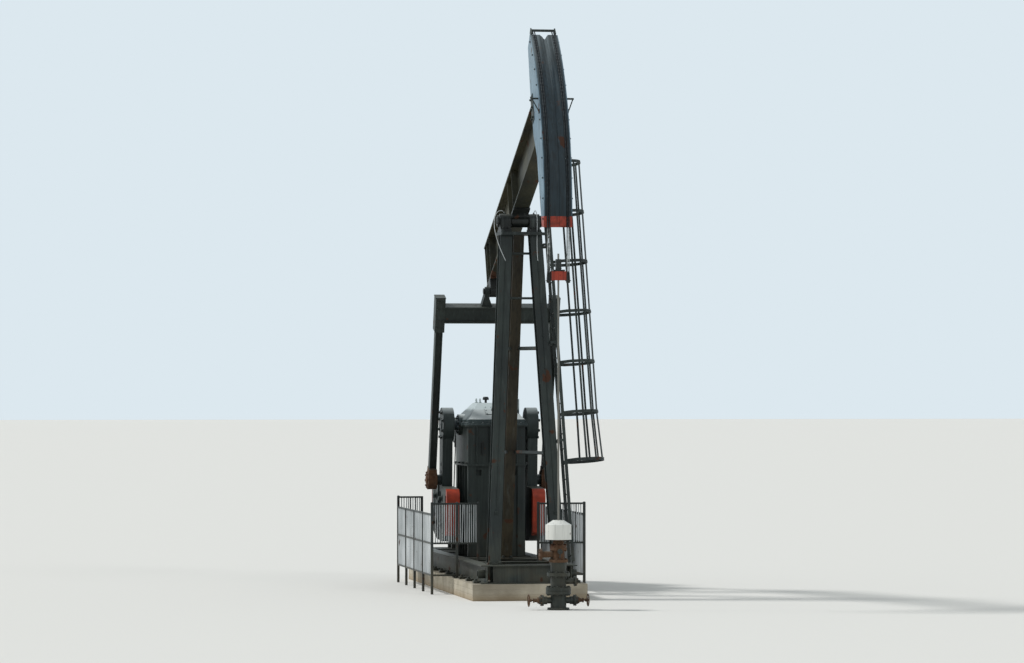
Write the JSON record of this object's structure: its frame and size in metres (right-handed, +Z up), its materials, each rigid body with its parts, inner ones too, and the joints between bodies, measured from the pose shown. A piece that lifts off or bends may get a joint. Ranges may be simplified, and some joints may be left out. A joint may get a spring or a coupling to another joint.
{
  "type": "pumpjack",
  "caption": "Beam pumping unit for an oil well: walking beam with a curved horsehead on a tripod post, driven by cranks with counterweights, pitmans and a gearbox, over its wellhead.",
  "frame": {"origin": "on the ground, on the underside of the concrete base, straight below the saddle bearing", "axes": "+X forward to the well, +Y to the ladder's side, +Z up"},
  "size_m": [12.817, 3.219, 11.1894],
  "materials": {
    "base_concrete": "cast concrete, weathered",
    "green_paint": "dark olive-green paint, weathered",
    "bearing_iron": "cast iron, painted",
    "orange_paint": "safety orange paint",
    "guard_steel": "grey paint on steel tube",
    "rusty_iron": "rusted cast iron",
    "rubber_belt": "black rubber",
    "pot_white": "white paint",
    "rod_steel": "polished steel",
    "wire_steel": "galvanised wire rope, greased",
    "motor_paint": "grey-green motor enamel"
  },
  "bodies": {
    "frame": {"foundation": "base_concrete", "skid_rails": "green_paint", "skid_cross_members": "green_paint", "front_leg_left": "green_paint", "front_leg_right": "green_paint", "rear_leg": "green_paint", "samson_cap": "green_paint", "center_bearings": "bearing_iron", "leg_braces": "green_paint", "gearbox_pedestal": "green_paint", "gearbox_housing": "green_paint", "gearbox_cover": "green_paint", "gearbox_sheave": "bearing_iron", "brake_drum": "bearing_iron", "motor": "motor_paint", "motor_base": "green_paint", "motor_sheave": "bearing_iron", "drive_belt": "rubber_belt", "belt_guard": "green_paint", "ladder": "green_paint", "cage_hoops": "green_paint", "cage_straps": "green_paint", "guard_left": "guard_steel", "guard_right": "guard_steel", "guard_front": "guard_steel", "guard_rear_panels": "guard_steel", "casing_head": "green_paint", "flow_tee": "rusty_iron", "stuffing_box": "rusty_iron", "oil_pot": "pot_white"},
    "beam": {"walking_beam": "green_paint", "saddle": "bearing_iron", "horsehead": "green_paint", "head_side_left": "green_paint", "head_side_right": "green_paint", "wireline_hanger": "green_paint", "head_wires": "wire_steel", "head_cross_bar": "green_paint", "tail_bearing": "bearing_iron"},
    "pitmans": {"equalizer": "green_paint", "pitman_left": "green_paint", "pitman_right": "green_paint", "wrist_bearings": "rusty_iron"},
    "cranks": {"crankshaft": "bearing_iron", "crank_left": "green_paint", "crank_right": "green_paint", "weights_left": "green_paint", "weights_right": "green_paint"},
    "rod": {"carrier_bar": "orange_paint", "rod_clamp": "bearing_iron", "polished_rod": "rod_steel", "bridle_wires": "wire_steel"}
  },
  "joints": [
    {"name": "crank_turn", "type": "hinge", "parent": "frame", "child": "cranks", "pos_m": [-3.95, 0, 3.43], "axis": [0, -1, 0], "range_deg": [0, 171.15]},
    {"name": "beam_rock", "type": "hinge", "parent": "frame", "child": "beam", "pos_m": [0, 0, 7.55], "axis": [0, 1, 0], "range_deg": [-0.1, 46.53]},
    {"name": "pitman_swing", "type": "hinge", "parent": "beam", "child": "pitmans", "pos_m": [-2.7433, 0, 6.20861], "axis": [0, 1, 0], "range_deg": [-52.53, 0.1]},
    {"name": "rod_slide", "type": "slide", "parent": "frame", "child": "rod", "axis": [0, 0, 1], "range_m": [-3.7151, 0.01]}
  ],
  "couplings": [
    {"joint": "beam_rock", "follows": "crank_turn", "ratio": 0.27129},
    {"joint": "pitman_swing", "follows": "crank_turn", "ratio": -0.30633},
    {"joint": "rod_slide", "follows": "crank_turn", "m_per_rad": -1.2403}
  ]
}
